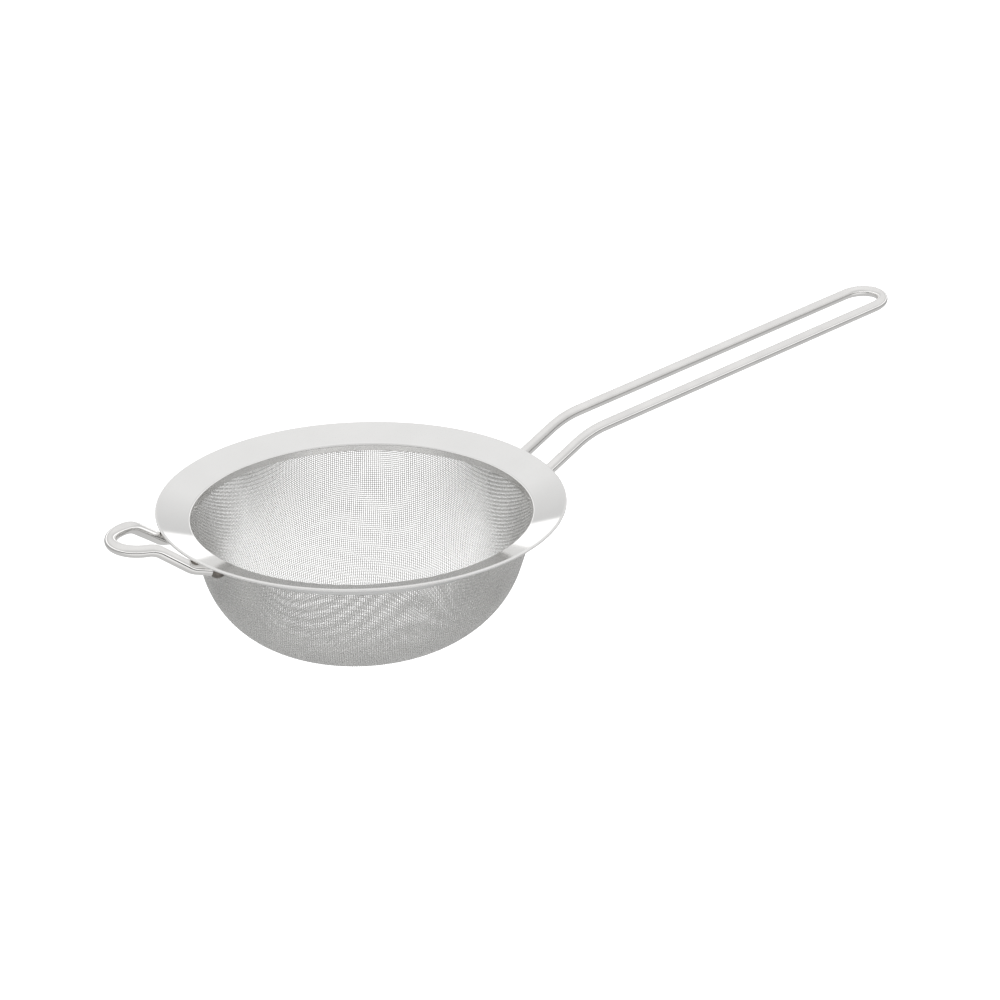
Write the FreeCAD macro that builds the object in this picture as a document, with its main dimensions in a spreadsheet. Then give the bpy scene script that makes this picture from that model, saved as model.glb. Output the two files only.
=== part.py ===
import FreeCAD, Part
import math
import os

import Sketcher

# Tea strainer: a bowl of woven wire cloth in a dished flange, with a long wire handle and a rest loop.
# Millimetres. The origin is the centre of the rim, level with its highest ring. +Z is up out of the
# bowl, and +X points along the handle.

PARTS_FOLDER = "parts"
TOUCHING = 1e-6
Vector = FreeCAD.Vector

DIMENSIONS = [
    # alias, value, what it is
    ("rim_radius", 60.0, "outer radius of the flange"),
    ("lip_radius", 50.0, "inner radius of the collar: the opening"),
    ("dish_angle", 20.0, "slope of the flange, down towards the bowl"),
    ("sheet_gauge", 0.5, "thickness of the flange's sheet"),
    ("lip_bend", 1.0, "outer radius of the rounded inner lip"),
    ("hem_radius", 0.45, "half the thickness of the hemmed outer edge"),
    ("hem_width", 2.0, "how far the hem is folded under"),
    ("collar_bottom", 6.0, "depth of the collar's lower edge below the origin"),
    ("cloth_gauge", 0.4, "thickness of the wire cloth"),
    ("cloth_top", 4.1, "depth of the cloth's clamped edge"),
    ("band_gauge", 0.6, "thickness of the clamp band"),
    ("band_top", 4.1, "depth of the band's upper edge"),
    ("skirt_top", 6.2, "depth where the cloth leaves the clamp"),
    ("skirt_angle", 15.0, "slope of the bowl's skirt from the vertical"),
    ("knuckle_radius", 29.0, "radius between the skirt and the crown"),
    ("crown_radius", 80.0, "radius of the bowl's shallow bottom"),
    ("bowl_depth", 45.0, "depth of the bowl's lowest point"),
    ("wire_radius", 1.75, "radius of the handle's and the loop's wire"),
    ("root_radius", 52.1, "distance of the handle wire's ends from the axis"),
    ("root_depth", 5.05, "depth of the wires' ends"),
    ("hem_gap", 0.05, "gap between a wire and the hem's round edge"),
    ("leg_offset", 7.4, "half the distance between the handle's legs"),
    ("bend_reach", 75.3, "distance of the handle's bend from the axis"),
    ("bend_height", 7.1, "height of the handle's bend"),
    ("bend_radius", 28.0, "radius of the handle's bend"),
    ("grip_rise", 10.2, "slope of the handle's long part"),
    ("grip_reach", 195.5, "distance of the handle's round end from the axis"),
    ("eye_radius", 8.6, "radius of the rest loop's round end"),
    ("eye_reach", 76.9, "distance of the rest loop's round end from the axis"),
    ("eye_height", 3.9, "height of the rest loop's eye"),
    ("knee_reach", 68.0, "distance of the rest loop's knees from the axis"),
    ("knee_radius", 6.0, "radius of the rest loop's knees"),
    ("splay_angle", 12.6, "how far the rest loop's legs spread from its axis"),
    ("loop_root_radius", 52.7, "distance of the loop wire's ends from the axis"),
    ("root_bend", 6.0, "radius of a wire's small bend under the hem"),
    ("bead_radius", 2.15, "radius of a weld bead at an end of the handle's wire"),
    ("loop_bead_radius", 2.4, "radius of a weld bead at an end of the loop's wire"),
    ("tack_radius", 1.1, "radius of a weld bead under the hem"),
    ("bead_shift", 0.8, "distance along the wire from its end, or from the hem, to a bead's centre"),
]

doc = FreeCAD.newDocument("tea_strainer")


# ---- driving dimensions ----

def make_sheet():
    """Put every driving dimension into a spreadsheet, one row each, with its alias."""
    sheet = doc.addObject("Spreadsheet::Sheet", "dimensions")
    for row, (alias, value, meaning) in enumerate(DIMENSIONS, start=1):
        sheet.set(f"A{row}", meaning)
        sheet.set(f"B{row}", str(value))
        sheet.setAlias(f"B{row}", alias)
    doc.recompute()
    return sheet


sheet = make_sheet()


def size(alias):
    """Read one driving dimension back from the sheet."""
    return float(sheet.get(alias))


def bind(thing, prop, formula):
    """Bind a property to the sheet. Names of dimensions in the formula become cell references."""
    for alias, _, _ in sorted(DIMENSIONS, key=lambda row: -len(row[0])):
        formula = formula.replace(f"<{alias}>", f"<<dimensions>>.{alias}")
    thing.setExpression(prop, formula)


# ---- helpers for revolved bodies ----

def polar(centre, radius, angle):
    """A point at an angle in degrees on a circle in the sketch plane."""
    turn = math.radians(angle)
    return Vector(centre.x + radius * math.cos(turn), centre.y + radius * math.sin(turn), 0)


def arc(centre, radius, start, end):
    """An arc that runs counter-clockwise from start to end, in degrees."""
    circle = Part.Circle(centre, Vector(0, 0, 1), radius)
    return Part.ArcOfCircle(circle, math.radians(start), math.radians(end))


def line(start, end):
    return Part.LineSegment(start, end)


def make_body(label):
    body = doc.addObject("PartDesign::Body", label)
    body.Label = label
    return body


def origin_feature(body, role):
    """One of the body's own origin planes or axes, found by its role."""
    return next(f for f in body.Origin.OriginFeatures if f.Role == role)


def add_sketch(body, name, geometry):
    """A sketch in the body's XZ plane: across is the distance from the axis, and up is the height."""
    sketch = body.newObject("Sketcher::SketchObject", name)
    sketch.AttachmentSupport = (origin_feature(body, "XZ_Plane"), [""])
    sketch.MapMode = "FlatFace"
    sketch.addGeometry(geometry, False)
    return sketch


def add_size(sketch, name, value, formula, *constraint):
    """A dimension in a sketch, bound to the driving dimensions."""
    index = sketch.addConstraint(Sketcher.Constraint(*constraint, value))
    sketch.renameConstraint(index, name)
    bind(sketch, f"Constraints.{name}", formula)


def revolve(body, sketch):
    """Turn the sketch once round the body's upright axis."""
    turned = body.newObject("PartDesign::Revolution", f"{body.Label}_turned")
    turned.Profile = sketch
    turned.ReferenceAxis = (sketch, ["V_Axis"])
    turned.Angle = 360.0
    sketch.Visibility = False
    doc.recompute()
    print(f"{sketch.Name}: solver status {sketch.solve()}, fully constrained {sketch.FullyConstrained}")
    return turned


# ---- rim flange ----

def flange_line(radius):
    """Height of the flange's upper face at a distance from the axis."""
    slope = math.radians(size("dish_angle"))
    hem = size("hem_radius")
    tangent = Vector(size("rim_radius") - hem - hem * math.sin(slope), hem * (math.cos(slope) - 1), 0)
    return tangent.y + (radius - tangent.x) * math.tan(slope)


def lip_centre():
    """Centre of the rounded lip, which is tangent to the flange's face and to the collar's wall."""
    across = size("lip_radius") + size("lip_bend")
    below = size("lip_bend") / math.cos(math.radians(size("dish_angle")))
    return Vector(across, flange_line(across) - below, 0)


def hem_corner():
    """The hem's lowest inner corner, where the fold ends."""
    slope = math.radians(size("dish_angle"))
    hem = size("hem_radius")
    centre = Vector(size("rim_radius") - hem, -hem, 0)
    along = Vector(math.cos(slope), math.sin(slope), 0)
    up = Vector(-math.sin(slope), math.cos(slope), 0)
    return centre - along * size("hem_width") - up * hem


def make_rim_flange():
    """One pressed sheet: hemmed edge, dished face, rounded lip and collar."""
    tilt = size("dish_angle")
    gauge = size("sheet_gauge")
    hem = size("hem_radius")
    bend = size("lip_bend")
    upright = 90 + tilt
    slope = math.radians(tilt)
    up = Vector(-math.sin(slope), math.cos(slope), 0)
    along = Vector(math.cos(slope), math.sin(slope), 0)

    edge = Vector(size("rim_radius") - hem, -hem, 0)
    lip = lip_centre()
    bottom = -size("collar_bottom")
    inner = size("lip_radius")
    fold_top = edge - along * size("hem_width") + up * (hem - gauge)
    fold_end = hem_corner()

    body = make_body("rim_flange")
    sketch = add_sketch(body, "flange_profile", [
        arc(edge, hem, upright - 180, upright),                                   # 0 hemmed edge
        line(edge + up * hem, lip + up * bend),                                   # 1 upper face
        arc(lip, bend, upright, 180),                                             # 2 rounded lip
        line(Vector(inner, lip.y, 0), Vector(inner, bottom, 0)),                  # 3 collar, inside
        line(Vector(inner, bottom, 0), Vector(inner + gauge, bottom, 0)),         # 4 collar's lower edge
        line(Vector(inner + gauge, bottom, 0), Vector(inner + gauge, lip.y, 0)),  # 5 collar, outside
        arc(lip, bend - gauge, upright, 180),                                     # 6 inside of the bend
        line(lip + up * (bend - gauge), fold_top),                                # 7 lower face
        line(fold_top, fold_end),                                                 # 8 end of the fold
        line(fold_end, edge - up * hem),                                          # 9 hem's lower face
    ])
    start, end, middle = 1, 2, 3
    rule = Sketcher.Constraint
    sketch.addConstraint([
        rule("Tangent", 0, end, 1, start),
        rule("Tangent", 1, end, 2, start),
        rule("Tangent", 2, end, 3, start),
        rule("Coincident", 3, end, 4, start),
        rule("Coincident", 4, end, 5, start),
        rule("Tangent", 5, end, 6, end),
        rule("Tangent", 6, start, 7, start),
        rule("Coincident", 7, end, 8, start),
        rule("Coincident", 8, end, 9, start),
        rule("Tangent", 9, end, 0, start),
        rule("Coincident", 2, middle, 6, middle),
        rule("Vertical", 3),
        rule("Horizontal", 4),
        rule("Vertical", 5),
        rule("Parallel", 1, 7),
        rule("Parallel", 7, 9),
        rule("Perpendicular", 8, 9),
    ])
    origin = (-1, 1)
    add_size(sketch, "edge_across", edge.x, "<rim_radius> - <hem_radius>",
             "DistanceX", *origin, 0, middle)
    add_size(sketch, "edge_below", hem, "<hem_radius>", "DistanceY", 0, middle, *origin)
    add_size(sketch, "edge_round", hem, "<hem_radius>", "Radius", 0)
    add_size(sketch, "lip_round", bend, "<lip_bend>", "Radius", 2)
    add_size(sketch, "opening", inner, "<lip_radius>", "DistanceX", *origin, 3, end)
    add_size(sketch, "collar_low", -bottom, "<collar_bottom>", "DistanceY", 3, end, *origin)
    add_size(sketch, "sheet", gauge, "<sheet_gauge>", "DistanceX", 4, start, 4, end)
    add_size(sketch, "dish", slope, "<dish_angle> * 1 deg", "Angle", 7)
    add_size(sketch, "fold", size("hem_width"), "<hem_width>", "Distance", 9)
    revolve(body, sketch)
    return body


# ---- clamp band ----

def band_inner():
    return size("lip_radius") + size("sheet_gauge") + size("cloth_gauge")


def band_outer():
    return band_inner() + size("band_gauge")


def make_clamp_band():
    """The plain ring that squeezes the cloth against the collar."""
    top = -size("band_top")
    bottom = -size("collar_bottom")
    corners = [
        Vector(band_inner(), bottom, 0),
        Vector(band_outer(), bottom, 0),
        Vector(band_outer(), top, 0),
        Vector(band_inner(), top, 0),
    ]
    body = make_body("clamp_band")
    count = len(corners)
    sides = [line(corners[i], corners[(i + 1) % count]) for i in range(count)]
    sketch = add_sketch(body, "band_profile", sides)
    start, end = 1, 2
    rule = Sketcher.Constraint
    sketch.addConstraint([rule("Coincident", i, end, (i + 1) % count, start) for i in range(count)])
    sketch.addConstraint([rule("Horizontal", 0), rule("Horizontal", 2)])
    sketch.addConstraint([rule("Vertical", 1), rule("Vertical", 3)])
    origin = (-1, 1)
    add_size(sketch, "inside", band_inner(), "<lip_radius> + <sheet_gauge> + <cloth_gauge>",
             "DistanceX", *origin, 0, start)
    add_size(sketch, "gauge", size("band_gauge"), "<band_gauge>", "DistanceX", 0, start, 0, end)
    add_size(sketch, "low", -bottom, "<collar_bottom>", "DistanceY", 0, start, *origin)
    add_size(sketch, "high", -top, "<band_top>", "DistanceY", 2, start, *origin)
    revolve(body, sketch)
    return body


# ---- mesh bowl ----

def bowl_curve(skirt_start, knuckle, crown):
    """Centres and tangent angles of one face of the bowl: skirt, knuckle arc and crown arc."""
    lean = math.radians(size("skirt_angle"))
    down = Vector(-math.sin(lean), -math.cos(lean), 0)
    inward = Vector(-math.cos(lean), math.sin(lean), 0)
    crown_centre = Vector(0, size("crown_radius") - size("bowl_depth"), 0)
    offset = skirt_start + inward * knuckle - crown_centre
    half = offset.dot(down)
    run = -half + math.sqrt(half ** 2 - offset.dot(offset) + (crown - knuckle) ** 2)
    knuckle_centre = skirt_start + down * run + inward * knuckle
    spoke = knuckle_centre - crown_centre
    return knuckle_centre, crown_centre, math.degrees(math.atan2(spoke.y, spoke.x))


def make_mesh_bowl():
    """A thin shell of revolution that stands for the woven cloth, clamped edge included."""
    gauge = size("cloth_gauge")
    inner = size("lip_radius") + size("sheet_gauge")
    outer = inner + gauge
    top = -size("cloth_top")
    lean = size("skirt_angle")
    knuckle = size("knuckle_radius")
    crown = size("crown_radius")
    bottom = -size("bowl_depth")

    skirt_outer = Vector(outer, -size("skirt_top"), 0)
    centre, crown_centre, meet = bowl_curve(skirt_outer, knuckle, crown)
    skirt_turn = -lean
    inward = polar(Vector(0, 0, 0), gauge, 180 - lean)
    # The inner skirt is parallel to the outer one, so it leaves the clamped wall a little higher up.
    corner_rise = gauge * math.tan(math.radians(lean) / 2)
    skirt_inner = Vector(inner, skirt_outer.y + corner_rise, 0)

    outer_tangent = polar(centre, knuckle, skirt_turn)
    inner_tangent = outer_tangent + inward
    body = make_body("mesh_bowl")
    sketch = add_sketch(body, "bowl_profile", [
        line(Vector(inner, top, 0), Vector(outer, top, 0)),               # 0 clamped edge
        line(Vector(outer, top, 0), skirt_outer),                         # 1 clamped wall, outside
        line(skirt_outer, outer_tangent),                                 # 2 skirt, outside
        arc(centre, knuckle, meet, skirt_turn),                           # 3 knuckle, outside
        arc(crown_centre, crown, -90, meet),                              # 4 crown, outside
        line(Vector(0, bottom, 0), Vector(0, bottom + gauge, 0)),         # 5 on the axis
        arc(crown_centre, crown - gauge, -90, meet),                      # 6 crown, inside
        arc(centre, knuckle - gauge, meet, skirt_turn),                   # 7 knuckle, inside
        line(inner_tangent, skirt_inner),                                 # 8 skirt, inside
        line(skirt_inner, Vector(inner, top, 0)),                         # 9 clamped wall, inside
    ])
    start, end, middle = 1, 2, 3
    rule = Sketcher.Constraint
    sketch.addConstraint([
        rule("Coincident", 0, end, 1, start),
        rule("Coincident", 1, end, 2, start),
        rule("Tangent", 2, end, 3, end),
        rule("Tangent", 3, start, 4, end),
        rule("Coincident", 4, start, 5, start),
        rule("Coincident", 5, end, 6, start),
        rule("Tangent", 6, end, 7, start),
        rule("Tangent", 7, end, 8, start),
        rule("Coincident", 8, end, 9, start),
        rule("Coincident", 9, end, 0, start),
        rule("Coincident", 3, middle, 7, middle),
        rule("Coincident", 4, middle, 6, middle),
        rule("Parallel", 2, 8),
        rule("Horizontal", 0),
        rule("Vertical", 1),
        rule("Vertical", 9),
        rule("PointOnObject", 4, start, -2),
        rule("PointOnObject", 5, end, -2),
        rule("PointOnObject", 4, middle, -2),
    ])
    origin = (-1, 1)
    add_size(sketch, "wall_inside", inner, "<lip_radius> + <sheet_gauge>", "DistanceX", *origin, 0, start)
    add_size(sketch, "cloth", gauge, "<cloth_gauge>", "DistanceX", 0, start, 0, end)
    add_size(sketch, "edge_low", -top, "<cloth_top>", "DistanceY", 0, end, *origin)
    add_size(sketch, "skirt_low", size("skirt_top"), "<skirt_top>", "DistanceY", 1, end, *origin)
    add_size(sketch, "knuckle", knuckle, "<knuckle_radius>", "Radius", 3)
    add_size(sketch, "crown", crown, "<crown_radius>", "Radius", 4)
    add_size(sketch, "cloth_on_axis", gauge, "<cloth_gauge>", "DistanceY", 5, start, 5, end)
    add_size(sketch, "depth", -bottom, "<bowl_depth>", "DistanceY", 4, start, *origin)
    add_size(sketch, "lean", math.radians(90 - lean), "(90 - <skirt_angle>) * 1 deg", "Angle", 8)
    revolve(body, sketch)
    return body


# ---- bent wires ----

def bent_path(points, radii):
    """A wire along straight runs, with a tangent arc of the given radius at each inner point."""
    edges = []
    last = points[0]
    for before, corner, after, radius in zip(points, points[1:], points[2:], radii):
        back = (before - corner).normalize()
        ahead = (after - corner).normalize()
        turn = math.pi - back.getAngle(ahead)
        reach = radius * math.tan(turn / 2)
        begin = corner + back * reach
        finish = corner + ahead * reach
        bisector = (back + ahead).normalize()
        centre = corner + bisector * (radius / math.cos(turn / 2))
        run = begin - last
        if run.dot(corner - before) < -TOUCHING:
            raise ValueError(f"the arcs on both sides of {before} overlap")
        if run.Length > TOUCHING:
            edges.append(Part.LineSegment(last, begin).toShape())
        edges.append(Part.Arc(begin, centre - bisector * radius, finish).toShape())
        last = finish
    edges.append(Part.LineSegment(last, points[-1]).toShape())
    return Part.Wire(edges)


def mirrored(points):
    """A half route followed by its mirror image across the XZ plane, back to the other end."""
    return points + [Vector(p.x, -p.y, p.z) for p in reversed(points)]


def sweep_wire(label, points, radii):
    """A round wire along a bent path."""
    path = bent_path(points, radii)
    spine = doc.addObject("Part::Feature", f"{label}_route")
    spine.Shape = path

    section = doc.addObject("Part::Circle", f"{label}_section")
    bind(section, "Radius", "<wire_radius>")
    direction = points[1] - points[0]
    section.Placement = FreeCAD.Placement(points[0], FreeCAD.Rotation(Vector(0, 0, 1), direction))

    swept = doc.addObject("Part::Sweep", label)
    swept.Label = label
    swept.Sections = [section]
    swept.Spine = (spine, [f"Edge{i + 1}" for i in range(len(path.Edges))])
    swept.Solid = True
    swept.Frenet = False
    doc.recompute()
    expected = math.pi * size("wire_radius") ** 2 * path.Length
    print(f"{label}: length {path.Length:.1f} mm, volume {swept.Shape.Volume:.1f} of {expected:.1f} mm3")
    return swept


def leg_slope(upper, crossing):
    """Slope of a leg that just clears the hem's round edge and then climbs to its upper end.

    Crossing is where the leg, seen from above, meets the circle of that edge's centre.
    """
    leg = Vector(upper.x - crossing.x, upper.y - crossing.y, 0)
    across = leg.dot(Vector(crossing.x, crossing.y, 0).normalize())
    climb = upper.z + size("hem_radius")
    clearance = size("hem_radius") + size("wire_radius") + size("hem_gap")
    slope_across = math.tan(math.atan2(climb, across) + math.asin(clearance / math.hypot(across, climb)))
    return slope_across * across / leg.Length


def handle_points():
    """Half of the handle's route: end at the band, hem, bend and round end."""
    side = size("leg_offset")

    def at_radius(radius):
        """Where the leg, seen from above, is at a distance from the axis."""
        return math.sqrt(radius ** 2 - side ** 2)

    root = Vector(at_radius(size("root_radius")), side, -size("root_depth"))
    hem = Vector(at_radius(size("rim_radius") - size("hem_radius")), side, 0)
    bend = Vector(size("bend_reach"), side, size("bend_height"))
    hem.z = bend.z - (bend.x - hem.x) * leg_slope(bend, hem)
    tip_x = size("grip_reach")
    tip_z = bend.z + (tip_x - bend.x) * math.tan(math.radians(size("grip_rise")))
    return [root, hem, bend, Vector(tip_x, side, tip_z)]


def loop_points():
    """Half of the rest loop's route: end at the band, hem, knee and round end."""
    height = size("eye_height")
    splay = math.radians(size("splay_angle"))
    inward = Vector(math.cos(splay), math.sin(splay), 0)
    half_turn = (math.pi / 2 - splay) / 2
    eye = Vector(-size("eye_reach"), size("eye_radius") * math.tan(half_turn), height)
    knee = eye + inward * ((size("eye_reach") - size("knee_reach")) / inward.x)

    def run_to(radius):
        """The leg's length, seen from above, from the knee to a distance from the axis."""
        half = -knee.dot(inward)
        return half - math.sqrt(half ** 2 - knee.x ** 2 - knee.y ** 2 + radius ** 2)

    hem_run = run_to(size("rim_radius") - size("hem_radius"))
    hem = knee + inward * hem_run
    hem.z = height - hem_run * leg_slope(knee, hem)
    root = knee + inward * run_to(size("loop_root_radius"))
    root.z = -size("root_depth")
    return [root, hem, knee, eye]


def make_handle_wire():
    half = handle_points()
    tip = size("leg_offset")
    bends = [size("root_bend"), size("bend_radius"), tip]
    return sweep_wire("handle_wire", mirrored(half), bends + bends[::-1])


def make_rest_loop():
    half = loop_points()
    eye = size("eye_radius")
    bends = [size("root_bend"), size("knee_radius"), eye]
    return sweep_wire("rest_loop", mirrored(half), bends + bends[::-1])


# ---- welds ----

def make_welds(label, end_radius, half_route, neighbours):
    """Beads at a wire's two ends and under the hem, cut back to the faces that they join."""
    root, hem = half_route[:2]
    shift = (root - hem).normalize() * size("bead_shift")
    tack = hem + shift
    tack.z = hem_corner().y
    beads = []
    for side in (1, -1):
        for centre, alias in ((root - shift, end_radius), (tack, "tack_radius")):
            bead = doc.addObject("Part::Sphere", f"{label}_bead")
            bind(bead, "Radius", f"<{alias}>")
            bead.Placement.Base = Vector(centre.x, side * centre.y, centre.z)
            beads.append(bead)
    group = doc.addObject("Part::Compound", f"{label}_beads")
    group.Links = beads
    doc.recompute()
    current = group
    for neighbour in neighbours:
        cut = doc.addObject("Part::Cut", f"{label}_fit")
        cut.Base = current
        cut.Tool = neighbour
        doc.recompute()
        current = cut
    current.Label = label
    return current


# ---- assembly ----

def check(objects):
    """Stop if any object of the document failed, or if a sub-part has no sound solid."""
    for item in doc.Objects:
        if {"Invalid", "Error"} & set(item.State):
            raise RuntimeError(f"{item.Name} failed: {item.State}")
    for item in objects:
        shape = item.Shape
        if shape.isNull() or not shape.isValid() or not shape.Solids:
            raise RuntimeError(f"{item.Label} has no valid solid")
        box = shape.BoundBox
        print(f"{item.Label}: {len(shape.Solids)} solid(s), {shape.Volume:.1f} mm3, "
              f"x {box.XMin:.1f}..{box.XMax:.1f}, y {box.YMin:.1f}..{box.YMax:.1f}, "
              f"z {box.ZMin:.1f}..{box.ZMax:.1f}")


def main():
    rim_flange = make_rim_flange()
    clamp_band = make_clamp_band()
    mesh_bowl = make_mesh_bowl()
    handle_wire = make_handle_wire()
    rest_loop = make_rest_loop()
    round_parts = [clamp_band, rim_flange, mesh_bowl]
    handle_welds = make_welds("handle_welds", "bead_radius", handle_points(), [handle_wire] + round_parts)
    loop_welds = make_welds("rest_loop_welds", "loop_bead_radius", loop_points(), [rest_loop] + round_parts)

    sub_parts = [rim_flange, clamp_band, mesh_bowl, handle_wire, rest_loop, handle_welds, loop_welds]
    doc.recompute()
    check(sub_parts)
    os.makedirs(PARTS_FOLDER, exist_ok=True)
    for item in sub_parts:
        item.Shape.exportStep(f"{PARTS_FOLDER}/{item.Label}.step")


main()
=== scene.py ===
import math

import bpy
import numpy as np
from mathutils import Matrix, Vector


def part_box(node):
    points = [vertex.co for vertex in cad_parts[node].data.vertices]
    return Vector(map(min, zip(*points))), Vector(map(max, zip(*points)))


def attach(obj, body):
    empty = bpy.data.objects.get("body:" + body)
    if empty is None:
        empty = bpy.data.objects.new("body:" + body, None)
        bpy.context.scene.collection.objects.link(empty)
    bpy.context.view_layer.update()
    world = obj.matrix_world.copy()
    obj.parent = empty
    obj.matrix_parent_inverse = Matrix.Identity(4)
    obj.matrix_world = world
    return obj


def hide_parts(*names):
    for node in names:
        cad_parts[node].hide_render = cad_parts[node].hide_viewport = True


# Tea strainer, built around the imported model. Metres, in the row frame: the origin is the centre of
# the rim at its highest ring, +Z is up out of the bowl and +X points along the handle.

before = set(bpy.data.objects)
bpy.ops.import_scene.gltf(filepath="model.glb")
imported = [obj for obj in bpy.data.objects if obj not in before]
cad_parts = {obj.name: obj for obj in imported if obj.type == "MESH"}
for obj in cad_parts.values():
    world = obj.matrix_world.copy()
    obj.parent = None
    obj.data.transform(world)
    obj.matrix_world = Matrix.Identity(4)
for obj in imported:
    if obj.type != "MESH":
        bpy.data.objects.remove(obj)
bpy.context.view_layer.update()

MM = 0.001
SUPPORT = 0.04 * MM  # distance from a bend to the loop that keeps the flat face beside it flat
SHORT_RUN = 6 * SUPPORT  # a straight run no longer than this gets no such loops

# ---- sizes, read from the frame where it holds them ----

RIM_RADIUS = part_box("rim_flange")[1].x
COLLAR_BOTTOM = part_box("rim_flange")[0].z
BAND_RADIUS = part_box("clamp_band")[1].x
BAND_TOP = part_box("clamp_band")[1].z
BOWL_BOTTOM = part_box("mesh_bowl")[0].z
CLOTH_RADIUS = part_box("mesh_bowl")[1].x

SHEET = 0.5 * MM
CLOTH_GAUGE = 0.4 * MM
BAND_GAUGE = 0.6 * MM
DISH = math.radians(20)
HEM_RADIUS = 0.45 * MM
HEM_WIDTH = 2.0 * MM
LIP_BEND = 1.0 * MM
LIP_RADIUS = CLOTH_RADIUS - CLOTH_GAUGE - SHEET

SKIRT_TOP = -6.2 * MM
SKIRT_LEAN = math.radians(15)
KNUCKLE = 29 * MM
CROWN = 80 * MM

WIRE_RADIUS = 1.75 * MM
ROOT_RADIUS = 52.1 * MM
ROOT_Z = -5.05 * MM
HEM_GAP = 0.05 * MM
ROOT_BEND = 6.0 * MM
LEG_OFFSET = 7.4 * MM
BEND_REACH = 75.3 * MM
BEND_HEIGHT = 7.1 * MM
BEND_RADIUS = 28 * MM
GRIP_RISE = math.radians(10.2)
GRIP_REACH = 195.5 * MM
EYE_RADIUS = 8.6 * MM
EYE_REACH = 76.9 * MM
EYE_HEIGHT = 3.9 * MM
KNEE_REACH = 68.0 * MM
KNEE_RADIUS = 6.0 * MM
SPLAY = math.radians(12.6)
LOOP_ROOT_RADIUS = 52.7 * MM

# The weave: plain, with its wires turned against the handle as they are in the bowl's blank.
PITCH = 0.65 * MM
CLOTH_WIRE = 0.125 * MM  # radius
WEAVE_TURN = math.radians(-31.5)
# The pressed bowl isn't quite true: its bottom sits a little towards the rest loop.
BOWL_LEAN = 1.9 * MM  # at the bowl's bottom
LEAN_POWER = 1.5  # the higher it is, the more of the lean is near the bottom

# ---- materials ----

# A noise pattern lies mostly between these two values.
PATTERN_LOW = 0.3
PATTERN_HIGH = 0.7


def new_material(name, metallic=1.0):
    """A material that holds only its shader and output, and that shader."""
    material = bpy.data.materials.new(name)
    material.use_nodes = True
    shader = material.node_tree.nodes["Principled BSDF"]
    shader.inputs["Metallic"].default_value = metallic
    return material, shader


def add(material, kind, **inputs):
    """Add a node and set or link its inputs by name."""
    node = material.node_tree.nodes.new(kind)
    for name, value in inputs.items():
        set_input(material, node, name.replace("_", " "), value)
    return node


def set_input(material, node, key, value):
    """Link the input if the value is another node's output, and set it if not."""
    socket = node.inputs[key]
    if isinstance(value, bpy.types.NodeSocket):
        material.node_tree.links.new(value, socket)
    else:
        socket.default_value = value


def place(material):
    """A piece's own coordinates, in metres."""
    return add(material, "ShaderNodeTexCoord").outputs["Object"]


def noise(material, vector, scale, detail=3.0, roughness=0.5):
    """A noise pattern's value at each point."""
    node = add(material, "ShaderNodeTexNoise", Vector=vector, Scale=scale, Detail=detail, Roughness=roughness)
    return node.outputs["Fac"]


def stretched(material, vector, scale):
    """The same coordinates with each axis scaled on its own, for marks that run one way."""
    return add(material, "ShaderNodeMapping", Vector=vector, Scale=scale).outputs["Vector"]


def round_axis(material, vector):
    """Coordinates of a turned part: distance from the axis, turn about it and height."""
    parts = add(material, "ShaderNodeSeparateXYZ", Vector=vector)
    x, y, z = (parts.outputs[axis] for axis in "XYZ")
    turn = math_node(material, "ARCTAN2", y, x)
    x_squared = math_node(material, "MULTIPLY", x, x)
    y_squared = math_node(material, "MULTIPLY", y, y)
    radius = math_node(material, "SQRT", math_node(material, "ADD", x_squared, y_squared))
    return add(material, "ShaderNodeCombineXYZ", X=radius, Y=turn, Z=z).outputs["Vector"]


def math_node(material, operation, *values):
    node = material.node_tree.nodes.new("ShaderNodeMath")
    node.operation = operation
    for index, value in enumerate(values):
        set_input(material, node, index, value)
    return node.outputs["Value"]


def between(material, factor, low, high):
    """Map a pattern's middle range onto two values."""
    node = add(
        material, "ShaderNodeMapRange", Value=factor,
        From_Min=PATTERN_LOW, From_Max=PATTERN_HIGH, To_Min=low, To_Max=high)
    return node.outputs["Result"]


def tinted(material, factor, low, high):
    """Blend two colours by a pattern."""
    ramp = add(material, "ShaderNodeValToRGB", Fac=factor)
    ramp.color_ramp.elements[0].position = PATTERN_LOW
    ramp.color_ramp.elements[0].color = (*low, 1)
    ramp.color_ramp.elements[1].position = PATTERN_HIGH
    ramp.color_ramp.elements[1].color = (*high, 1)
    return ramp.outputs["Color"]


def bumped(material, shader, height, strength, distance):
    """Raise the surface by a pattern, in its shading only."""
    bump = add(material, "ShaderNodeBump", Height=height, Strength=strength, Distance=distance)
    material.node_tree.links.new(bump.outputs["Normal"], shader.inputs["Normal"])


def polished_sheet():
    """Mirror-polished steel: faint cloudiness and the finest rings left by the polishing wheel."""
    material, shader = new_material("polished_sheet")
    turned = round_axis(material, place(material))
    clouds = noise(material, place(material), 60)
    rings = noise(material, stretched(material, turned, (9000, 6, 9000)), 1.0, detail=2.0)
    colour = tinted(material, clouds, (0.885, 0.88, 0.87), (0.915, 0.91, 0.90))
    set_input(material, shader, "Base Color", colour)
    set_input(material, shader, "Roughness", between(material, rings, 0.045, 0.085))
    bumped(material, shader, rings, 0.02, 0.02 * MM)
    return material


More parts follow.
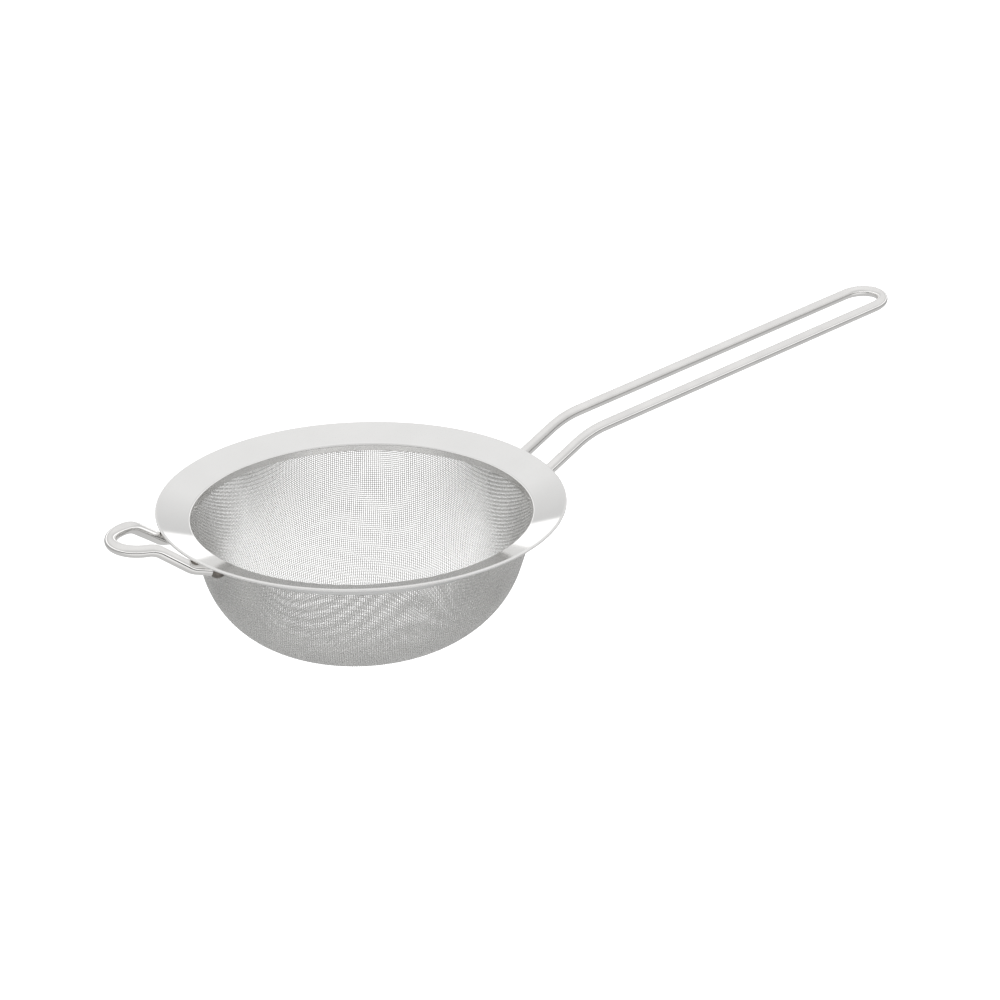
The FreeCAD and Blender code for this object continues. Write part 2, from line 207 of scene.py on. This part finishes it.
def band_sheet():
    """Satin strip with marks that run round the part."""
    material, shader = new_material("band_sheet")
    turned = round_axis(material, place(material))
    marks = noise(material, stretched(material, turned, (4000, 25, 12000)), 1.0, detail=4.0)
    colour = tinted(material, marks, (0.60, 0.60, 0.60), (0.72, 0.72, 0.71))
    set_input(material, shader, "Base Color", colour)
    set_input(material, shader, "Roughness", between(material, marks, 0.24, 0.38))
    bumped(material, shader, marks, 0.15, 0.03 * MM)
    return material


def bent_wire():
    """Tumbled round wire: a soft gloss with a fine grain and slow changes of tone."""
    material, shader = new_material("bent_wire")
    coordinates = place(material)
    slow = noise(material, coordinates, 140)
    grain = noise(material, stretched(material, coordinates, (900, 5200, 5200)), 1.0, detail=4.0)
    colour = tinted(material, slow, (0.84, 0.83, 0.82), (0.91, 0.90, 0.885))
    set_input(material, shader, "Base Color", colour)
    set_input(material, shader, "Roughness", between(material, grain, 0.06, 0.12))
    bumped(material, shader, grain, 0.10, 0.02 * MM)
    return material


def wire_cloth():
    """Bright drawn wire of the cloth, a little duller where the die rubbed it."""
    material, shader = new_material("wire_cloth")
    coordinates = place(material)
    patches = noise(material, coordinates, 90)
    marks = noise(material, coordinates, 2600, detail=2.0)
    colour = tinted(material, patches, (0.74, 0.735, 0.725), (0.82, 0.815, 0.80))
    set_input(material, shader, "Base Color", colour)
    set_input(material, shader, "Roughness", between(material, marks, 0.20, 0.36))
    return material


def weld():
    """Weld metal: dull and rippled, with a brown trace, and dark as painted shade for the shadow where the
    wire legs go under the rim. It is darker than the record's beads.
    """
    material, shader = new_material("weld")
    coordinates = place(material)
    tint = noise(material, coordinates, 480)
    ripples = noise(material, coordinates, 2400, detail=3.0)
    # painted shade: these dark greys stand in for the shadow under the rim's edge, not the metal's own colour
    colour = tinted(material, tint, (0.12, 0.112, 0.11), (0.28, 0.255, 0.225))
    set_input(material, shader, "Base Color", colour)
    set_input(material, shader, "Roughness", between(material, ripples, 0.28, 0.5))
    bumped(material, shader, ripples, 0.5, 0.08 * MM)
    return material


def pale_floor():
    """White paper, lit from behind as well so that it stays white to its far edge."""
    material, shader = new_material("pale_floor", metallic=0.0)
    mottle = noise(material, place(material), 6)
    white = tinted(material, mottle, (0.94, 0.94, 0.94), (0.96, 0.96, 0.96))
    set_input(material, shader, "Base Color", white)
    set_input(material, shader, "Emission Color", white)
    shader.inputs["Emission Strength"].default_value = 0.5
    shader.inputs["Roughness"].default_value = 0.9
    return material


# ---- turned parts ----


def arc_points(centre, radius, start, end, count=12):
    """Points (distance from the axis, height) on an arc, from one angle in degrees to another."""
    turns = np.radians(np.linspace(start, end, count + 1))
    return [(centre[0] + radius * math.cos(a), centre[1] + radius * math.sin(a)) for a in turns]


def with_supports(outline):
    """Put a point just inside both ends of each straight run, so that bends don't shade the flat faces."""
    kept = []
    count = len(outline)
    for i in range(count):
        here, after = np.array(outline[i]), np.array(outline[(i + 1) % count])
        run = after - here
        length = math.hypot(*run)
        kept.append(tuple(here))
        if length > SHORT_RUN:
            kept.append(tuple(here + run * (SUPPORT / length)))
            kept.append(tuple(after - run * (SUPPORT / length)))
    return kept


def new_piece(name, vertices, faces, material, sharp_angle=None):
    """A smooth-shaded mesh object. Edges sharper than the angle stay crisp."""
    mesh = bpy.data.meshes.new(name)
    mesh.from_pydata(vertices, [], faces)
    mesh.polygons.foreach_set("use_smooth", [True] * len(mesh.polygons))
    if sharp_angle:
        mesh.set_sharp_from_angle(angle=sharp_angle)
    mesh.materials.append(material)
    piece = bpy.data.objects.new(name, mesh)
    bpy.context.scene.collection.objects.link(piece)
    return piece


def lathe(name, outline, material, segments=384):
    """Turn a closed outline, listed with its material on the left, once round the Z axis."""
    profile = np.array(with_supports(outline))
    turns = np.linspace(0, 2 * math.pi, segments, endpoint=False)
    count = len(profile)
    vertices = [(r * math.cos(a), r * math.sin(a), z) for a in turns for r, z in profile]
    faces = []
    for i in range(segments):
        here, after = i * count, (i + 1) % segments * count
        for k in range(count):
            step = (k + 1) % count
            faces.append((here + k, after + k, after + step, here + step))
    return new_piece(name, vertices, faces, material, sharp_angle=math.radians(35))


def along_dish(start, distance, rise):
    """A point at a distance up the flange's slope from start, and then at a rise square to it."""
    return (start[0] + distance * math.cos(DISH) - rise * math.sin(DISH),
            start[1] + distance * math.sin(DISH) + rise * math.cos(DISH))


HEM_CENTRE = (RIM_RADIUS - HEM_RADIUS, -HEM_RADIUS)


def flange_face(radius):
    """Height of the flange's upper face at a distance from the axis."""
    start = along_dish(HEM_CENTRE, 0, HEM_RADIUS)
    return start[1] + (radius - start[0]) * math.tan(DISH)


def make_rim_flange(material):
    """The pressed sheet: collar, rounded lip, dished face, and the outer edge folded under."""
    lip = (LIP_RADIUS + LIP_BEND, flange_face(LIP_RADIUS + LIP_BEND) - LIP_BEND / math.cos(DISH))
    tilt = math.degrees(DISH)
    fold = 0.12 * MM  # radius of the cut edges
    hem_end = along_dish(HEM_CENTRE, -HEM_WIDTH, -HEM_RADIUS)
    hem_end_top = along_dish(HEM_CENTRE, -HEM_WIDTH, HEM_RADIUS - SHEET)
    outline = []
    outline += [(LIP_RADIUS + fold, COLLAR_BOTTOM), (LIP_RADIUS + SHEET - fold, COLLAR_BOTTOM)]
    outline += arc_points((LIP_RADIUS + SHEET - fold, COLLAR_BOTTOM + fold), fold, -60, 0, count=3)
    outline += arc_points(lip, LIP_BEND - SHEET, 180, 90 + tilt)
    outline += [hem_end_top, hem_end]
    outline += arc_points(HEM_CENTRE, HEM_RADIUS, tilt - 90, tilt + 90, count=20)
    outline += arc_points(lip, LIP_BEND, 90 + tilt, 180, count=14)
    outline += arc_points((LIP_RADIUS + fold, COLLAR_BOTTOM + fold), fold, 180, 240, count=3)
    return lathe("flange_dished_sheet", outline, material, segments=512)


def make_clamp_band(material):
    """The plain ring that squeezes the cloth against the collar, with broken edges."""
    inner = BAND_RADIUS - BAND_GAUGE
    edge = 0.15 * MM
    corners = (
        (inner + edge, COLLAR_BOTTOM + edge, 180),
        (BAND_RADIUS - edge, COLLAR_BOTTOM + edge, 270),
        (BAND_RADIUS - edge, BAND_TOP - edge, 0),
        (inner + edge, BAND_TOP - edge, 90),
    )
    outline = []
    for r, z, start in corners:
        outline += arc_points((r, z), edge, start, start + 90, count=4)
    return lathe("clamp_band_ring", outline, material)


# ---- bent wires ----

ARC_STEP = 0.35 * MM  # between the tube's rings on an arc
LONGEST_RUN = 4 * MM  # between its rings on a straight run


def rounded_route(points, radii, step):
    """Points along straight runs joined by tangent arcs, close together on the arcs."""
    route = [points[0]]
    for before, corner, after, radius in zip(points, points[1:], points[2:], radii):
        back = (before - corner).normalized()
        ahead = (after - corner).normalized()
        half_turn = (math.pi - back.angle(ahead)) / 2
        centre = corner + (back + ahead).normalized() * (radius / math.cos(half_turn))
        start = corner + back * (radius * math.tan(half_turn)) - centre
        end = corner + ahead * (radius * math.tan(half_turn)) - centre
        count = max(4, math.ceil(2 * half_turn * radius / step))
        route += [centre + turn_between(start, end, i / count) for i in range(count + 1)]
    route.append(points[-1])
    return route


def turn_between(start, end, share):
    """A spoke turned from start towards end, both of one length."""
    angle = start.angle(end)
    axis = start.cross(end).normalized()
    return Matrix.Rotation(angle * share, 3, axis) @ start


def split_runs(route, longest):
    """Divide the long straight runs, so that no face of the tube is a long thin strip."""
    split = [route[0]]
    for before, after in zip(route, route[1:]):
        count = max(1, math.ceil((after - before).length / longest))
        split += [before.lerp(after, (i + 1) / count) for i in range(count)]
    return split


def tube(name, route, radius, material, sides=40):
    """A round wire along a route, with slightly broken edges at its two cut ends."""
    broken = 0.25 * MM
    first = (route[1] - route[0]).normalized()
    last = (route[-1] - route[-2]).normalized()
    rings = [(route[0], radius - broken), (route[0] + first * broken, radius)]
    rings += [(p, radius) for p in route[1:-1]]
    rings += [(route[-1] - last * broken, radius), (route[-1], radius - broken)]
    across = first.orthogonal().normalized()
    vertices = []
    count = len(rings)
    for i, (centre, ring_radius) in enumerate(rings):
        ahead = (rings[min(i + 1, count - 1)][0] - rings[max(i - 1, 0)][0]).normalized()
        across = (across - ahead * across.dot(ahead)).normalized()
        up = ahead.cross(across)
        for k in range(sides):
            turn = 2 * math.pi * k / sides
            vertices.append(centre + (across * math.cos(turn) + up * math.sin(turn)) * ring_radius)
    faces = []
    for i in range(count - 1):
        for k in range(sides):
            step = (k + 1) % sides
            faces.append((i * sides + k, i * sides + step, (i + 1) * sides + step, (i + 1) * sides + k))
    faces.append(tuple(reversed(range(sides))))
    faces.append(tuple((count - 1) * sides + k for k in range(sides)))
    return new_piece(name, vertices, faces, material, sharp_angle=math.radians(50))


def mirrored(points):
    """A half route followed by its mirror image across the XZ plane."""
    return points + [Vector((p.x, -p.y, p.z)) for p in reversed(points)]


def leg_slope(upper, crossing):
    """Slope of a leg that just clears the hem's round edge and then climbs to its upper end."""
    leg = Vector((upper.x - crossing.x, upper.y - crossing.y))
    across = leg.dot(Vector((crossing.x, crossing.y)).normalized())
    climb = upper.z + HEM_RADIUS
    clearance = HEM_RADIUS + WIRE_RADIUS + HEM_GAP
    slope_across = math.tan(math.atan2(climb, across) + math.asin(clearance / math.hypot(across, climb)))
    return slope_across * across / leg.length


def handle_half():
    """Half of the handle's route: end at the band, hem, bend and round end."""

    def reach(radius):
        return math.sqrt(radius ** 2 - LEG_OFFSET ** 2)

    root = Vector((reach(ROOT_RADIUS), LEG_OFFSET, ROOT_Z))
    hem = Vector((reach(HEM_CENTRE[0]), LEG_OFFSET, 0))
    bend = Vector((BEND_REACH, LEG_OFFSET, BEND_HEIGHT))
    hem.z = bend.z - (bend.x - hem.x) * leg_slope(bend, hem)
    tip = Vector((GRIP_REACH, LEG_OFFSET, bend.z + (GRIP_REACH - bend.x) * math.tan(GRIP_RISE)))
    return [root, hem, bend, tip]


def loop_half():
    """Half of the rest loop's route: end at the band, hem, knee and round end."""
    inward = Vector((math.cos(SPLAY), math.sin(SPLAY), 0))
    eye = Vector((-EYE_REACH, EYE_RADIUS * math.tan((math.pi / 2 - SPLAY) / 2), EYE_HEIGHT))
    knee = eye + inward * ((EYE_REACH - KNEE_REACH) / inward.x)

    def run_to(radius):
        """The leg's length, seen from above, from the knee to a distance from the axis."""
        half = -knee.dot(inward)
        return half - math.sqrt(half ** 2 - knee.x ** 2 - knee.y ** 2 + radius ** 2)

    hem_run = run_to(HEM_CENTRE[0])
    hem = knee + inward * hem_run
    hem.z = EYE_HEIGHT - hem_run * leg_slope(knee, hem)
    root = knee + inward * run_to(LOOP_ROOT_RADIUS)
    root.z = ROOT_Z
    return [root, hem, knee, eye]


def make_wire(name, half, bends, material):
    """A bent wire, from half of its route and the radii of that half's bends."""
    route = rounded_route(mirrored(half), bends + bends[::-1], ARC_STEP)
    return tube(name, split_runs(route, LONGEST_RUN), WIRE_RADIUS, material)


# ---- woven bowl ----

SOLVER_STEPS = 6
DAMPING = 1e-6  # keeps the equations solvable where two wires run almost parallel
TINY = 1e-12  # keeps a division off zero on the axis
FEWEST_CROSSINGS = 3  # a stretch of wire with fewer is left out
CORNERS = 4  # of a cloth wire's section


class BowlFace:
    """The middle face of the cloth: clamped wall, skirt, knuckle and crown, turned round the axis."""

    def __init__(self):
        half = CLOTH_GAUGE / 2
        self.wall = CLOTH_RADIUS - half
        self.knuckle = KNUCKLE - half
        self.crown = CROWN - half
        self.crown_centre = np.array([0.0, BOWL_BOTTOM + CROWN])
        skirt = np.array([CLOTH_RADIUS, SKIRT_TOP])
        down = np.array([-math.sin(SKIRT_LEAN), -math.cos(SKIRT_LEAN)])
        self.inward = np.array([-math.cos(SKIRT_LEAN), math.sin(SKIRT_LEAN)])
        offset = skirt + self.inward * KNUCKLE - self.crown_centre
        along = offset @ down
        run = -along + math.sqrt(along ** 2 - offset @ offset + (CROWN - KNUCKLE) ** 2)
        self.knuckle_centre = skirt + down * run + self.inward * KNUCKLE
        self.skirt_point = skirt + self.inward * half
        spoke = self.knuckle_centre - self.crown_centre
        self.meet = math.atan2(spoke[1], spoke[0])

    def distance(self, points):
        """Distance of each point outside the face, and the face's outward normal there."""
        radius = np.hypot(points[:, 0], points[:, 1])
        flat = np.stack([radius, points[:, 2]], axis=1)
        from_crown = flat - self.crown_centre
        from_knuckle = flat - self.knuckle_centre
        crown_length = np.linalg.norm(from_crown, axis=1)
        knuckle_length = np.linalg.norm(from_knuckle, axis=1)
        crown_angle = np.arctan2(from_crown[:, 1], from_crown[:, 0])
        knuckle_angle = np.arctan2(from_knuckle[:, 1], from_knuckle[:, 0])
        on_crown = crown_angle < self.meet
        on_knuckle = ~on_crown & (knuckle_angle < -SKIRT_LEAN)
        skirt_gap = -(flat - self.skirt_point) @ self.inward
        wall_gap = radius - self.wall
        on_wall = ~on_crown & ~on_knuckle & (wall_gap > skirt_gap) & (flat[:, 1] > SKIRT_TOP)
        gap = np.where(on_wall, wall_gap, skirt_gap)
        gap = np.where(on_knuckle, knuckle_length - self.knuckle, gap)
        gap = np.where(on_crown, crown_length - self.crown, gap)
        normal = np.where(on_wall[:, None], np.array([1.0, 0.0]), -self.inward)
        normal = np.where(on_knuckle[:, None], from_knuckle / knuckle_length[:, None], normal)
        normal = np.where(on_crown[:, None], from_crown / crown_length[:, None], normal)
        turn = points[:, :2] / np.maximum(radius, TINY)[:, None]
        return gap, np.concatenate([normal[:, :1] * turn, normal[:, 1:]], axis=1)


def next_crossings(face, left, right, corner):
    """Crossings one pitch from both neighbours and on the face, started from a parallelogram."""
    points = left + right - corner
    for _ in range(SOLVER_STEPS):
        gap, normal = face.distance(points)
        to_left, to_right = points - left, points - right
        wrong = np.stack([
            ((to_left ** 2).sum(1) - PITCH ** 2) / 2,
            ((to_right ** 2).sum(1) - PITCH ** 2) / 2,
            gap * PITCH,
        ], axis=1)
        slopes = np.stack([to_left, to_right, normal * PITCH], axis=1)
        slopes += np.eye(3) * (DAMPING * PITCH)
        change = np.linalg.solve(slopes, wrong[:, :, None])[:, :, 0]
        points = points - np.clip(change, -PITCH / 2, PITCH / 2)
    return points


def first_wire(face, across, count):
    """Crossings of a wire that starts at the bowl's lowest point and runs straight up a side."""
    points = [np.array([0.0, 0.0, BOWL_BOTTOM + CLOTH_GAUGE / 2])]
    for _ in range(count - 1):
        guess = points[-1] + (points[-1] - points[-2] if len(points) > 1 else across * PITCH)
        for _ in range(SOLVER_STEPS):
            gap, normal = face.distance(guess[None])
            guess = guess - gap[0] * normal[0]
            guess = points[-1] + (guess - points[-1]) * (PITCH / np.linalg.norm(guess - points[-1]))
        points.append(guess)
    return np.array(points)


def quarter_net(face, count):
    """Crossings of one quarter of the cloth. Its wires keep their spacing and shear to fit the bowl."""
    net = np.full((count, count, 3), np.nan)
    net[:, 0] = first_wire(face, np.array([1.0, 0.0, 0.0]), count)
    net[0, :] = first_wire(face, np.array([0.0, 1.0, 0.0]), count)
    for total in range(2, 2 * count - 1):
        i = np.arange(max(1, total - count + 1), min(count, total))
        j = total - i
        fits = np.isfinite(net[i - 1, j, 0]) & np.isfinite(net[i, j - 1, 0])
        i, j = i[fits], j[fits]
        if not len(i):
            break
        found = next_crossings(face, net[i - 1, j], net[i, j - 1], net[i - 1, j - 1])
        found[found[:, 2] > BAND_TOP + PITCH] = np.nan
        net[i, j] = found
    return net


def whole_net(quarter):
    """The four quarters of the cloth, mirrored about the two middle wires."""
    count = len(quarter)
    net = np.full((2 * count - 1, 2 * count - 1, 3), np.nan)
    for sign_x in (1, -1):
        for sign_y in (1, -1):
            i = count - 1 + sign_x * np.arange(count)
            j = count - 1 + sign_y * np.arange(count)
            net[np.ix_(i, j)] = quarter * np.array([sign_x, sign_y, 1.0])
    return net


def leaned(points):
    """Move the bowl's lower part a little towards the rest loop, and its bottom the most."""
    depth = np.clip((SKIRT_TOP - points[..., 2]) / (SKIRT_TOP - BOWL_BOTTOM), 0, 1)
    moved = points.copy()
    moved[..., 0] -= BOWL_LEAN * depth ** LEAN_POWER
    return moved


def wire_runs(inside):
    """Start and end of each unbroken stretch of a wire that has enough crossings."""
    edges = np.flatnonzero(np.diff(np.concatenate([[0], inside.astype(int), [0]])))
    return [(a, b) for a, b in zip(edges[::2], edges[1::2]) if b - a >= FEWEST_CROSSINGS]


def weave(name, net, normals, phase, material):
    """All wires along the net's first axis, as four-sided tubes that pass over and under in turn."""
    vertices, faces = [], []
    for j in range(net.shape[1]):
        for start, end in wire_runs(np.isfinite(net[:, j, 0])):
            centres, out = net[start:end, j], normals[start:end, j]
            parity = np.where((np.arange(start, end) + j) % 2 == 0, 1.0, -1.0) * phase
            centres = centres + out * (parity * CLOTH_WIRE)[:, None]
            ahead = np.gradient(centres, axis=0)
            side = np.cross(ahead, out)
            side /= np.linalg.norm(side, axis=1, keepdims=True)
            up = np.cross(side, ahead)
            up /= np.linalg.norm(up, axis=1, keepdims=True)
            base = len(vertices)
            for centre, u, s in zip(centres, up * CLOTH_WIRE, side * CLOTH_WIRE):
                vertices += [centre + u, centre + s, centre - u, centre - s]
            for k in range(len(centres) - 1):
                for q in range(CORNERS):
                    a = base + CORNERS * k + q
                    b = base + CORNERS * k + (q + 1) % CORNERS
                    faces.append((a, b, b + CORNERS, a + CORNERS))
            last = base + CORNERS * (len(centres) - 1)
            faces.append((base + 3, base + 2, base + 1, base))
            faces.append((last, last + 1, last + 2, last + 3))
    return new_piece(name, vertices, faces, material)


def make_cloth(material):
    """The woven bowl: warp and weft, each in two halves."""
    face = BowlFace()
    count = math.ceil((CLOTH_RADIUS - BOWL_BOTTOM) / PITCH)
    net = whole_net(quarter_net(face, count))
    inside = np.isfinite(net[..., 0]) & (net[..., 2] < BAND_TOP - CLOTH_WIRE)
    net[~inside] = np.nan
    flat = np.where(inside[..., None], net, 0.0).reshape(-1, 3)
    normals = face.distance(flat)[1].reshape(net.shape)
    turn = np.array(Matrix.Rotation(WEAVE_TURN, 3, "Z"))
    net, normals = leaned(net @ turn.T), normals @ turn.T
    half = net.shape[1] // 2
    pieces = []
    for label, points, out, phase in (
        ("warp", net, normals, 1.0),
        ("weft", net.transpose(1, 0, 2), normals.transpose(1, 0, 2), -1.0),
    ):
        for side, part, shift in (("near", slice(0, half), 0), ("far", slice(half, None), half)):
            swap = phase * (-1.0) ** shift
            pieces.append(weave(f"cloth_{label}_{side}", points[:, part], out[:, part], swap, material))
    return pieces


# ---- build ----

slots = {
    "polished_sheet": polished_sheet(),
    "band_sheet": band_sheet(),
    "bent_wire": bent_wire(),
    "wire_cloth": wire_cloth(),
    "weld": weld(),
}


def fit_piece(piece, slot, *nodes):
    """Fix a piece to the part's one body, and hide the CAD nodes it stands for."""
    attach(piece, "root")
    if nodes:
        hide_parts(*nodes)


fit_piece(make_rim_flange(slots["polished_sheet"]), "polished_sheet", "rim_flange")
fit_piece(make_clamp_band(slots["band_sheet"]), "band_sheet", "clamp_band")
handle = make_wire(
    "handle_bent_wire", handle_half(), [ROOT_BEND, BEND_RADIUS, LEG_OFFSET], slots["bent_wire"])
fit_piece(handle, "bent_wire", "handle_wire")
loop = make_wire(
    "rest_loop_bent_wire", loop_half(), [ROOT_BEND, KNEE_RADIUS, EYE_RADIUS], slots["bent_wire"])
fit_piece(loop, "bent_wire", "rest_loop")
for cloth in make_cloth(slots["wire_cloth"]):
    fit_piece(cloth, "wire_cloth", "mesh_bowl")

# The weld beads take the weld material, whose dark colour is painted shade under the rim.
for node in ("handle_welds", "rest_loop_welds"):
    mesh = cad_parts[node].data
    mesh.materials.clear()
    mesh.materials.append(slots["weld"])
    mesh.polygons.foreach_set("use_smooth", [True] * len(mesh.polygons))

# ---- studio ----

FLOOR_DROP = 0.25  # from the bowl's lowest point down to the floor
FLOOR_Z = BOWL_BOTTOM - FLOOR_DROP
FLOOR_HALF = 6.0  # half the side of the floor

CAMERA_AIM = Vector((34.3, -21.4, -0.8)) * MM
CAMERA_DISTANCE = 574.0 * MM
CAMERA_AZIMUTH = math.radians(-31.5)
CAMERA_ELEVATION = math.radians(24.16)
CAMERA_ROLL = math.radians(-0.19)
FIELD_OF_VIEW = 0.5  # radians


def make_floor():
    """A wide white floor. The metal reflects the room's lower half instead of it."""
    corners = [(x * FLOOR_HALF, y * FLOOR_HALF, FLOOR_Z) for x, y in ((-1, -1), (1, -1), (1, 1), (-1, 1))]
    floor = new_piece("floor", corners, [(0, 1, 2, 3)], pale_floor())
    floor.visible_glossy = False


# Brightness of the room by height of the direction, from straight down (-1) to straight up (1). Over 1
# is brighter than white.
AWAY_SIDE = (
    (-1.0, 0.60), (-0.5, 0.60), (-0.2, 0.40), (0.0, 0.40), (0.01, 1.25), (0.19, 1.25),
    (0.205, 0.66), (0.34, 0.73), (0.5, 0.85), (0.9, 0.87), (1.0, 0.90))
CAMERA_SIDE = (
    (-1.0, 0.60), (-0.6, 0.84), (-0.33, 1.0), (-0.27, 0.06), (-0.10, 0.06), (-0.02, 1.3),
    (0.10, 1.3), (0.15, 0.62), (0.6, 0.72), (1.0, 0.88))
# Level direction to where the main camera stands. The room is laid out on it and stays put in other views.
TO_CAMERA = (math.sin(CAMERA_AZIMUTH), -math.cos(CAMERA_AZIMUTH), 0.0)
# The room changes from one side to the other between these cosines of the angle to that direction.
SIDES_MEET = (0.3, 0.8)


def make_world():
    """A grey room with bright and dark strips by height, laid out differently on its two sides."""
    world = bpy.data.worlds.new("studio")
    bpy.context.scene.world = world
    world.use_nodes = True
    background = world.node_tree.nodes["Background"]
    where = add(world, "ShaderNodeTexCoord").outputs["Generated"]
    height = add(world, "ShaderNodeSeparateXYZ", Vector=where).outputs["Z"]
    upward = math_node(world, "MULTIPLY_ADD", height, 0.5, 0.5)
    toward = add(world, "ShaderNodeVectorMath", Vector=where)
    toward.operation = "DOT_PRODUCT"
    toward.inputs[1].default_value = TO_CAMERA
    start, end = SIDES_MEET
    share = add(world, "ShaderNodeMapRange", Value=toward.outputs["Value"], From_Min=start, From_Max=end)
    share.interpolation_type = "SMOOTHSTEP"
    mix = add(world, "ShaderNodeMix", Factor=share.outputs["Result"])
    mix.data_type = "RGBA"
    for socket, stops in zip([s for s in mix.inputs if s.type == "RGBA"], (AWAY_SIDE, CAMERA_SIDE)):
        world.node_tree.links.new(grey_ramp(world, upward, stops), socket)
    result = [s for s in mix.outputs if s.type == "RGBA"][0]
    world.node_tree.links.new(result, background.inputs["Color"])


def grey_ramp(owner, factor, stops):
    """A ramp of greys, with its stops given by height from -1 to 1."""
    ramp = add(owner, "ShaderNodeValToRGB", Fac=factor)
    elements = ramp.color_ramp.elements
    while len(elements) < len(stops):
        elements.new(1.0)
    for element, (height, grey) in zip(elements, stops):
        element.position = (height + 1) / 2
        element.color = (grey, grey, grey, 1)
    return ramp.outputs["Color"]


def make_light(name, location, aim, size, power):
    """A square lamp that doesn't show in reflections."""
    data = bpy.data.lights.new(name, "AREA")
    data.shape = "SQUARE"
    data.size = size
    data.energy = power
    light = bpy.data.objects.new(name, data)
    bpy.context.scene.collection.objects.link(light)
    light.location = location
    light.rotation_euler = (Vector(aim) - Vector(location)).to_track_quat("-Z", "Y").to_euler()
    light.visible_glossy = False  # its mirror image would burn out the far side of the flange


def make_camera():
    """The camera stands off from a point near the rim, and is turned by a trace of roll."""
    level = math.cos(CAMERA_ELEVATION)
    ahead = Vector((
        -math.sin(CAMERA_AZIMUTH) * level, math.cos(CAMERA_AZIMUTH) * level, -math.sin(CAMERA_ELEVATION)))
    data = bpy.data.cameras.new("camera")
    data.angle = FIELD_OF_VIEW
    data.clip_start = 0.01
    camera = bpy.data.objects.new("camera", data)
    bpy.context.scene.collection.objects.link(camera)
    facing = ahead.to_track_quat("-Z", "Y").to_matrix().to_4x4() @ Matrix.Rotation(CAMERA_ROLL, 4, "Z")
    camera.matrix_world = Matrix.Translation(CAMERA_AIM - ahead * CAMERA_DISTANCE) @ facing
    bpy.context.scene.camera = camera


make_floor()
make_world()
make_light("overhead", location=(0.1, -0.1, 1.4), aim=(0, 0, 0), size=1.6, power=9.0)
make_camera()
bpy.context.scene.view_settings.view_transform = "Standard"
